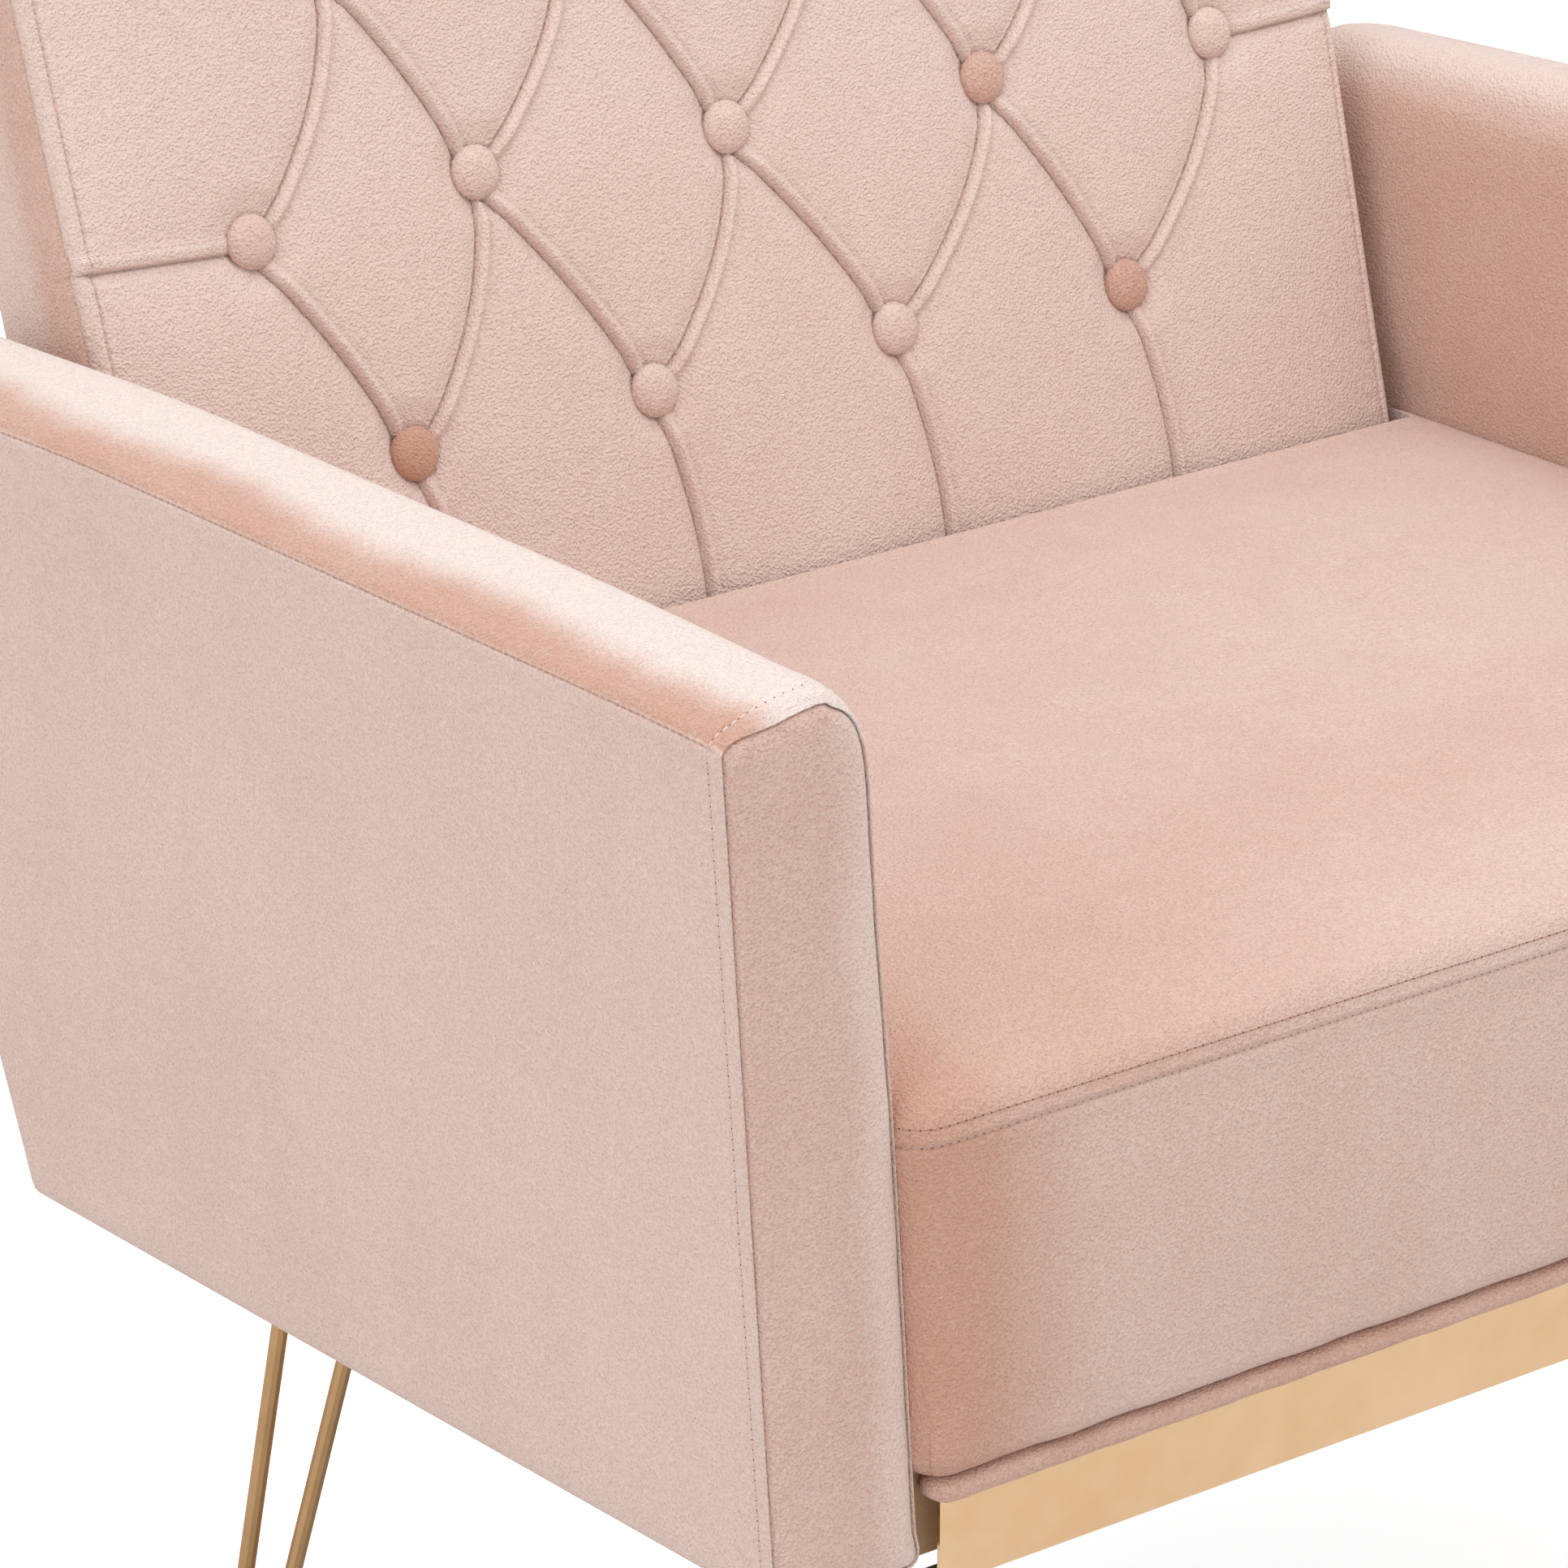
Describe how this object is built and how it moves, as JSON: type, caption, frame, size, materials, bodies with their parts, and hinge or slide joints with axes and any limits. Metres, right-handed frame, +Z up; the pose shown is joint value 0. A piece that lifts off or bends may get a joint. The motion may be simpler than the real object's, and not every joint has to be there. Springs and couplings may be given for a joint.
{
  "type": "upholstered armchair",
  "caption": "Upholstered armchair with a button-tufted reclined back, outward-leaning arms, a box seat over a metal trim strip, and splayed hairpin legs",
  "frame": {"origin": "on the floor, under the middle of the chair's bounding box", "axes": "+X across the chair to the right hand of a person facing it, +Y towards the back, so the front faces -Y, and +Z up. The chair is mirror-symmetric about the plane X = 0, apart from its hand-set buttons"},
  "size_m": [0.82, 0.6341, 0.7838],
  "materials": {
    "velvet": "short-pile upholstery velvet in blush pink",
    "foam": "open-cell upholstery foam with a fibre wrap",
    "timber": "unfinished sawn softwood and plywood",
    "burlap": "woven jute backing cloth",
    "spring_steel": "plain drawn steel",
    "polished_trim": "polished gold-coloured metal strip",
    "satin_gold": "satin gold plated steel",
    "rubber": "moulded rubber",
    "dust_cloth": "black non-woven cloth"
  },
  "bodies": {
    "root": {"back_bottom_rail": "timber", "back_burlap": "burlap", "back_cover": "velvet", "back_foam": "foam", "back_left_post": "timber", "back_right_post": "timber", "back_top_rail": "timber", "base_front_rail": "timber", "base_left_rail": "timber", "base_rear_rail": "timber", "base_right_rail": "timber", "dust_cover": "dust_cloth", "front_left_corner_block": "timber", "front_left_leg_cap": "rubber", "front_left_leg_plate": "satin_gold", "front_left_leg_rod": "satin_gold", "front_lip": "velvet", "front_right_corner_block": "timber", "front_right_leg_cap": "rubber", "front_right_leg_plate": "satin_gold", "front_right_leg_rod": "satin_gold", "front_trim": "polished_trim", "left_arm_cover": "velvet", "left_arm_front_bolt": "spring_steel", "left_arm_padding": "foam", "left_arm_panel": "timber", "left_arm_rear_bolt": "spring_steel", "lower_button_1": "velvet", "lower_button_2": "velvet", "lower_button_3": "velvet", "lower_button_4": "velvet", "middle_button_1": "velvet", "middle_button_2": "velvet", "middle_button_3": "velvet", "middle_button_4": "velvet", "middle_button_5": "velvet", "outside_back_panel": "velvet", "rear_left_corner_block": "timber", "rear_left_leg_cap": "rubber", "rear_left_leg_plate": "satin_gold", "rear_left_leg_rod": "satin_gold", "rear_right_corner_block": "timber", "rear_right_leg_cap": "rubber", "rear_right_leg_plate": "satin_gold", "rear_right_leg_rod": "satin_gold", "right_arm_cover": "velvet", "right_arm_front_bolt": "spring_steel", "right_arm_padding": "foam", "right_arm_panel": "timber", "right_arm_rear_bolt": "spring_steel", "seat_cover": "velvet", "seat_foam": "foam", "seat_spring_1": "spring_steel", "seat_spring_2": "spring_steel", "seat_spring_3": "spring_steel", "seat_spring_4": "spring_steel", "upper_button_1": "velvet", "upper_button_2": "velvet", "upper_button_3": "velvet", "upper_button_4": "velvet"}
  },
  "joints": []
}
